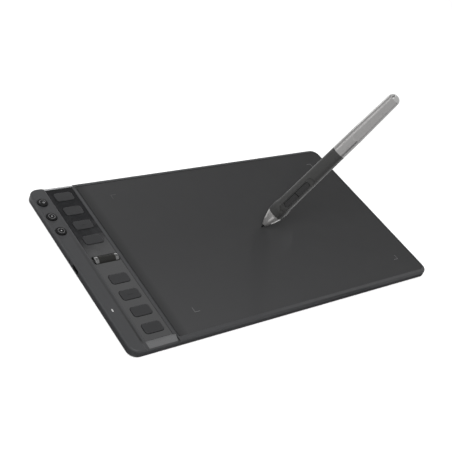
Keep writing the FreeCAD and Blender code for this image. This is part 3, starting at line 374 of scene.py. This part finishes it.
def sheet_surface():
    """Matte drawing film: paper-like grain, with painted shade beside the ridge and a painted
    falloff of light, lightest at its front left.
    """
    made = Surface("drawing_film", (0.0465, 0.0467, 0.0478), roughness=0.58, specular=0.1)
    left = SHEET_LOW.x
    # painted shade beside the ridge
    made.shade(made.along("X"), RIDGE_PAINTED_SHADE, 1.0, left, left + RIDGE_REACH)
    # painted shade for the lights' falloff, darker to the right and to the rear
    for axis, (start, end, least) in (("X", FILM_PAINTED_FALLOFF_X), ("Y", FILM_PAINTED_FALLOFF_Y)):
        made.darken(made.ranged(made.along(axis), 0.0, 1.0, start, end), least)
    made.uneven(made.noise(size=15 * MM, detail=3.0), spread=0.02)
    made.bump(made.noise(size=0.18 * MM), height=0.004 * MM, edge=0.1 * MM)
    return made


# Between these two values of the noise lie the edges of the circuit board's tracks
TRACK_EDGES = (0.48, 0.52)


def board_surface():
    """Green circuit board with faint tracks under its mask."""
    made = Surface("circuit_board", (0.015, 0.075, 0.04), roughness=0.35)
    tracks = made.noise(size=3 * MM, detail=0.0, place=made.stretched((1, 0.25, 1)))
    made.shade(tracks, 0.8, 1.25, *TRACK_EDGES)
    made.uneven(made.noise(size=8 * MM), spread=0.05)
    made.bump(tracks, height=0.01 * MM)
    return made


def lamp_surface():
    """Milky plastic that a lamp lights from below."""
    made = moulded(
        "light_pipe", colour=(0.4, 0.4, 0.396), roughness=0.4, grain=0.5 * MM, height=0.003 * MM
    )
    made.glow((1.0, 1.0, 0.98), strength=0.08)
    return made


GRIP_SHEEN = 0.12
GRIP_SHEEN_ROUGHNESS = 0.35


def grip_surface():
    """Soft-touch rubber, which looks lighter where it turns away."""
    made = moulded(
        "pen_grip", colour=(0.034, 0.034, 0.0335), roughness=0.5, specular=0.25,
        grain=0.2 * MM, height=0.006 * MM, edge=0.15 * MM,
    )
    made.shader.inputs["Sheen Weight"].default_value = GRIP_SHEEN
    made.shader.inputs["Sheen Roughness"].default_value = GRIP_SHEEN_ROUGHNESS
    return made


# How much brighter the rear trim is than the front one, as a painted reflection, and where between
# them that changes
TRIM_REAR_PAINTED_REFLECTION = 3.3
TRIM_CHANGE = (-1 * MM, 1 * MM)


def trim_surface():
    """Satin metal with lines along it, and a painted reflection that makes the rear trim bright and
    the front one dull.
    """
    made = Surface("trim", (0.142, 0.1435, 0.146), roughness=0.33, metallic=1.0)
    lines = made.noise(LINE_PITCH, place=made.stretched((0.05, 4, 4)))
    # painted reflection: the rear trim's colour is brighter than the front's
    made.shade(made.along("Y"), 1.0, TRIM_REAR_PAINTED_REFLECTION, *TRIM_CHANGE)
    made.uneven(lines, LINE_SPREAD)
    made.bump(lines, LINE_DEPTH, edge=0.1 * MM)
    return made


# How much brighter the silver is round the pen's nose, as a painted reflection, the heights
# between which that changes, and the clear coat
NOSE_PAINTED_REFLECTION = 1.6
NOSE_CHANGE = (35 * MM, 60 * MM)
COAT = 0.25
COAT_ROUGHNESS = 0.08


def painted_silver(name, colour, roughness, metallic):
    """Silver paint: fine metal flakes under a clear coat, with a painted reflection that lightens
    it round the nose.
    """
    made = Surface(name, colour, roughness, metallic=metallic, coat=COAT)
    made.shader.inputs["Coat Roughness"].default_value = COAT_ROUGHNESS
    flakes = made.noise(size=0.08 * MM, detail=1.0)
    # painted reflection: the silver's colour is brighter round the nose
    made.shade(made.along("Z"), NOSE_PAINTED_REFLECTION, 1.0, *NOSE_CHANGE)
    made.uneven(made.noise(size=5 * MM), spread=0.03)
    made.bump(flakes, height=0.001 * MM, edge=0.1 * MM)
    return made


def print_surface(name, colour):
    """Screen print."""
    made = Surface(name, colour, roughness=0.45)
    made.vary(made.noise(size=0.3 * MM), spread=0.08)
    made.uneven(made.noise(size=1 * MM), spread=0.04)
    made.bump(made.noise(size=0.1 * MM), height=0.002 * MM)
    return made


def new_object(name, form, material):
    """An object of a bmesh, which is used up."""
    mesh = bpy.data.meshes.new(name)
    form.to_mesh(mesh)
    form.free()
    mesh.materials.append(material)
    made = bpy.data.objects.new(name, mesh)
    bpy.context.scene.collection.objects.link(made)
    return made


def new_piece(name, form, material, body):
    piece = new_object(name, form, material)
    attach(piece, body)


def one_face(corners):
    form = bmesh.new()
    form.faces.new([form.verts.new(corner) for corner in corners])
    return form


def add_slab(form, outline, low, high):
    """A thin plate: an outline of (x, y) points between two heights."""
    bottom = [form.verts.new((x, y, low)) for x, y in outline]
    top = [form.verts.new((x, y, high)) for x, y in outline]
    form.faces.new(list(reversed(bottom)))
    form.faces.new(top)
    count = len(outline)
    for index in range(count):
        after = (index + 1) % count
        form.faces.new((bottom[index], bottom[after], top[after], top[index]))


FULL_TURN = 2 * math.pi
LEAST_GAP = 0.001  # an arc with a smaller gap, in radians, is a whole ring


def add_ring(form, centre, inner, outer, low, high, start=0.0, end=FULL_TURN, steps=48):
    """A flat ring, or an arc of one, as a thin closed band."""
    whole = end - start > FULL_TURN - LEAST_GAP
    count = steps if whole else steps + 1
    rings = []
    for index in range(count):
        angle = start + (end - start) * index / steps
        way = Vector((math.cos(angle), math.sin(angle)))
        corners = [(inner, low), (outer, low), (outer, high), (inner, high)]
        points = [(*(centre + way * radius), height) for radius, height in corners]
        rings.append([form.verts.new(point) for point in points])
    for index in range(count if whole else count - 1):
        here = rings[index]
        there = rings[(index + 1) % count]
        for side in range(len(here)):
            after = (side + 1) % len(here)
            form.faces.new((here[side], there[side], there[after], here[after]))
    if not whole:
        form.faces.new(rings[0])
        form.faces.new(list(reversed(rings[-1])))


PRINT_THICKNESS = 0.03 * MM

# Printed marks at the corners of the drawing area; the one at the rear left gets a darker ink as
# painted shade, so it hardly shows
MARK_LEFT, MARK_RIGHT = -93.4 * MM, 140.6 * MM
MARK_FRONT, MARK_REAR = -68.7 * MM, 71.1 * MM
MARK_ARM = 5.0 * MM
MARK_LINE = 0.35 * MM
MARK_OUTLINE = (
    (0, 0),
    (MARK_ARM, 0),
    (MARK_ARM, MARK_LINE),
    (MARK_LINE, MARK_LINE),
    (MARK_LINE, MARK_ARM),
    (0, MARK_ARM),
)


def make_corner_marks():
    ink = print_surface("mark_ink", (0.12, 0.12, 0.125))
    # the darker ink is painted shade for the rear left mark
    painted_shade_ink = print_surface("painted_shade_mark_ink", (0.045, 0.045, 0.046))
    low = SHEET_HIGH.z
    for row, y, up in (("front", MARK_FRONT, 1), ("rear", MARK_REAR, -1)):
        for side, x, right in (("left", MARK_LEFT, 1), ("right", MARK_RIGHT, -1)):
            corner = bmesh.new()
            placed = [(x + right * px, y + up * py) for px, py in MARK_OUTLINE]
            if right * up < 0:
                placed.reverse()
            add_slab(corner, placed, low, low + PRINT_THICKNESS)
            used = painted_shade_ink if (row, side) == ("rear", "left") else ink
            name = f"corner_mark_{row}_{side}"
            new_piece(name, corner, used.material, "tablet")


# Generic signs on the three round buttons, with the outer radii of ring, eye and dot
ICON_LINE = 0.32 * MM
ICON_RING = 2.8 * MM
ICON_EYE = 0.3 * ICON_RING
ICON_DOT = 0.55 * MM
ICON_DOT_HOLE = 0.05 * ICON_DOT
ICON_DOT_STEPS = 24
HOOK_BUTTON = 1
HOOK_ARC = (math.radians(-5), math.radians(200))
HOOK_EYE = Vector((0.5, -0.6)) * MM
DASHES = 4
DASH_STEP = FULL_TURN / DASHES
DASH_SHARE = 0.86
# The arcs that each button's sign is made of
SIGNS = {
    HOOK_BUTTON: [HOOK_ARC],
    2: [(0.0, FULL_TURN)],
    3: [(dash * DASH_STEP, (dash + DASH_SHARE) * DASH_STEP) for dash in range(DASHES)],
}


def make_icons():
    """A hook with an eye on the rearmost button, then a ring and a dashed ring, each with a dot."""
    ink = print_surface("icon_ink", (0.19, 0.19, 0.195))
    bright = print_surface("dot_ink", (0.42, 0.42, 0.43))
    for index, arcs in SIGNS.items():
        low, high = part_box(f"group_button_{index}")
        middle = Vector(((low.x + high.x) / 2, (low.y + high.y) / 2))
        levels = (high.z, high.z + PRINT_THICKNESS)
        sign = bmesh.new()
        dot = bmesh.new()
        for arc in arcs:
            add_ring(sign, middle, ICON_RING - ICON_LINE, ICON_RING, *levels, *arc)
        if index == HOOK_BUTTON:
            add_ring(dot, middle + HOOK_EYE, ICON_EYE - ICON_LINE, ICON_EYE, *levels)
        else:
            add_ring(dot, middle, ICON_DOT_HOLE, ICON_DOT, *levels, steps=ICON_DOT_STEPS)
        body = f"group_{index}"
        new_piece(f"group_icon_{index}", sign, ink.material, body)
        new_piece(f"group_dot_{index}", dot, bright.material, body)


# Studio: the floor's size, its glow where it is seen, which keeps it near white, and the lights
FLOOR_SIZE = 6.0
FLOOR_GLOW = 0.5
WORLD_LIGHT = 0.45
WHITE = (1.0, 1.0, 1.0)
MATTE = 0.9
LIGHTS = {
    "main_light": dict(
        place=(-0.34, -0.28, 0.78), aim=(0, 0, 0), width=0.5, height=0.5, power=5.2
    ),
    "back_light": dict(
        place=(0.90, 0.42, 0.99), aim=(0, 0, 0), width=0.09, height=0.09, power=0.9
    ),
    "left_light": dict(
        place=(-0.68, 0.42, 0.34), aim=(0, 0, 0.06), width=0.12, height=0.5, power=0.7
    ),
}


def where_seen(tree):
    """One where the camera, a mirror or a glass looks at it, zero where it only lights."""
    path = tree.nodes.new("ShaderNodeLightPath")
    seen = path.outputs["Is Camera Ray"]
    for name in ("Is Glossy Ray", "Is Transmission Ray"):
        most = tree.nodes.new("ShaderNodeMath")
        most.operation = "MAXIMUM"
        tree.links.new(seen, most.inputs[0])
        tree.links.new(path.outputs[name], most.inputs[1])
        seen = most.outputs["Value"]
    return seen


def make_world():
    """White where it is seen, and a soft light elsewhere."""
    world = bpy.data.worlds.new("studio")
    bpy.context.scene.world = world
    world.use_nodes = True
    tree = world.node_tree
    light = tree.nodes["Background"]
    white = tree.nodes.new("ShaderNodeBackground")
    for background, strength in ((light, WORLD_LIGHT), (white, 1.0)):
        background.inputs["Color"].default_value = (*WHITE, 1.0)
        background.inputs["Strength"].default_value = strength
    mix = tree.nodes.new("ShaderNodeMixShader")
    tree.links.new(where_seen(tree), mix.inputs["Fac"])
    tree.links.new(light.outputs["Background"], mix.inputs[1])
    tree.links.new(white.outputs["Background"], mix.inputs[2])
    tree.links.new(mix.outputs["Shader"], tree.nodes["World Output"].inputs["Surface"])


def make_floor():
    """A pale floor that shows as near white where nothing shades it."""
    made = Surface("floor", (0.8, 0.8, 0.8), MATTE, specular=0.0)
    made.vary(made.noise(size=400 * MM), spread=0.005)
    tree = made.material.node_tree
    strength = tree.nodes.new("ShaderNodeMath")
    strength.operation = "MULTIPLY"
    strength.inputs[1].default_value = FLOOR_GLOW
    tree.links.new(where_seen(tree), strength.inputs[0])
    glow = tree.nodes.new("ShaderNodeEmission")
    tree.links.new(strength.outputs["Value"], glow.inputs["Strength"])
    both = tree.nodes.new("ShaderNodeAddShader")
    tree.links.new(made.shader.outputs["BSDF"], both.inputs[0])
    tree.links.new(glow.outputs["Emission"], both.inputs[1])
    tree.links.new(both.outputs["Shader"], tree.nodes["Material Output"].inputs["Surface"])
    half = FLOOR_SIZE / 2
    plane = one_face([(-half, -half, 0), (half, -half, 0), (half, half, 0), (-half, half, 0)])
    floor = new_object("floor", plane, made.material)


def softbox(name, place, aim, width, height, power):
    data = bpy.data.lights.new(name, "AREA")
    data.shape = "RECTANGLE"
    data.size = width
    data.size_y = height
    data.energy = power
    light = bpy.data.objects.new(name, data)
    ahead = (Vector(aim) - Vector(place)).normalized()
    turn = ahead.to_track_quat("-Z", "Y").to_matrix().to_4x4()
    light.matrix_world = Matrix.Translation(place) @ turn
    bpy.context.scene.collection.objects.link(light)
    light.visible_camera = False


# Cards that only reflections show. A dark one stands over the rear half of the glossy key panel:
# the pixels where the camera sees its reflected corners, and how far along the mirrored rays
# they lie
PANEL_CARD = ((70, 257.5, 0.5), (118, 228.5, 0.5), (92.5, 172, 0.12), (22, 172, 0.12))
# Dark cards on the floor before the front wall and the left wall: their height, how far out they
# reach, where the left one ends at the rear, and the share of its reach that is left there
FLOOR_CARD_LEVEL = 0.0003
FRONT_CARD_REACH = 0.006
LEFT_CARD_REACH = 0.011
LEFT_CARD_REAR = 0.085
LEFT_CARD_REAR_SHARE = 0.2
# Strips for the lines along the barrel and the grip: how far from the pen's tip the point lies
# that each one looks at, and where the strip lies from there
PEN_STRIPS = {
    "barrel_strip": (
        0.13, dict(way=(0.13, -0.92, -0.37), distance=0.12, length=0.2, width=0.07)
    ),
    "grip_strip": (
        0.052, dict(way=(0.6, -0.55, -0.58), distance=0.028, length=0.092, width=0.018, glow=2.3)
    ),
}
# Strips round the nose cone: where its normal points, and where the camera's mirrored ray goes
NOSE_STRIPS = {
    "left": ((-0.94, 0.31, 0.13), dict(way=(-0.25, 0.83, -0.46), glow=0.9)),
    "middle": ((-0.85, -0.53, 0.0), dict(way=(-0.69, -0.33, -0.62), glow=0.9)),
    "right": ((-0.2, -0.92, -0.35), dict(way=(0.49, -0.2, -0.85), glow=1.2)),
}
NOSE_MIDDLE = 0.0165
NOSE_RADIUS = 0.0055
NOSE_STRIP_SIZE = dict(distance=0.008, length=0.012, width=0.005)
# Strips for the wheel's grip and for its end caps, as they lie from the top of the wheel
WHEEL_STRIPS = {
    "wheel_strip": dict(way=(0.6, 0.15, 0.78), distance=0.4, length=0.3, width=0.06),
    "cap_strip": dict(way=(0.5, 0.83, 0.24), distance=0.5, length=0.12, width=0.12, glow=4.5),
}


def card_surface(name, glow):
    """A black card, or one whose front glows and whose back can be looked through."""
    made = Surface(name, (0.004, 0.004, 0.004), MATTE, specular=0.0)
    made.vary(made.noise(size=50 * MM), spread=0.1)
    if glow:
        made.glow(WHITE, glow)
        back = made.nodes.new("ShaderNodeNewGeometry").outputs["Backfacing"]
        front = made.ranged(back, 1.0, 0.0, 0.0, 1.0)
        made.links.new(front, made.shader.inputs["Alpha"])
    return made


def card(name, corners, glow=0.0):
    """A card that shows in reflections and nowhere else."""
    plate = new_object(name, one_face(corners), card_surface(name, glow).material)
    plate.visible_camera = False
    plate.visible_diffuse = False
    plate.visible_shadow = False
    plate.visible_transmission = False


def make_panel_card():
    corners = []
    for x, y, distance in PANEL_CARD:
        foot = on_level(x, y, PANEL_TOP)
        ray = pixel_ray(x, y)
        corners.append(foot + Vector((ray.x, ray.y, -ray.z)) * distance)
    card("panel_card", corners)


def floor_card(name, reach, places):
    """A card on the floor, whose corners lie so many reaches out in X and Y from points."""
    corners = [
        Vector((x + out_x * reach, y + out_y * reach, FLOOR_CARD_LEVEL))
        for (x, y), (out_x, out_y) in places
    ]
    card(name, corners)


def make_floor_cards():
    """Dark cards on the floor before the two walls that the camera sees."""
    (left, front, _), (right, _, _) = cad_box
    front_left, front_right, rear_left = (left, front), (right, front), (left, LEFT_CARD_REAR)
    floor_card("front_floor_card", FRONT_CARD_REACH, (
        (front_left, (0, 0)),
        (front_right, (0, 0)),
        (front_right, (1, -1)),
        (front_left, (-1, -1)),
    ))
    floor_card("left_floor_card", LEFT_CARD_REACH, (
        (rear_left, (0, 0)),
        (front_left, (0, 0)),
        (front_left, (-1, -1)),
        (rear_left, (-LEFT_CARD_REAR_SHARE, 0)),
    ))


def strip(name, start, axis, way, distance, length, width, glow=0.0):
    """A card in a way from a point, that runs along an axis; its front looks at the point."""
    middle = start + Vector(way).normalized() * distance
    along = axis * length / 2
    across = axis.cross(Vector(way)).normalized() * width / 2
    near, far = middle - along, middle + along
    card(name, [near - across, far - across, far + across, near + across], glow)


def make_pen_strips():
    for name, (height, row) in PEN_STRIPS.items():
        strip(name, PEN_TIP + PEN_AXIS * height, PEN_AXIS, **row)
    for side, (out, row) in NOSE_STRIPS.items():
        cone = PEN_TIP + PEN_AXIS * NOSE_MIDDLE + Vector(out) * NOSE_RADIUS
        strip(f"nose_strip_{side}", cone, PEN_AXIS, **row, **NOSE_STRIP_SIZE)


def make_wheel_strips():
    middle = (WHEEL_LOW + WHEEL_HIGH) / 2
    top = Vector((middle.x, middle.y, WHEEL_HIGH.z))
    for name, row in WHEEL_STRIPS.items():
        strip(name, top, Vector((1, 0, 0)), **row)


def make_studio():
    make_world()
    make_floor()
    for name, row in LIGHTS.items():
        softbox(name, **row)
    make_panel_card()
    make_floor_cards()
    make_pen_strips()
    make_wheel_strips()


bpy.context.scene.view_settings.view_transform = "Standard"
look_camera()
make_materials()
make_corner_marks()
make_icons()
make_studio()
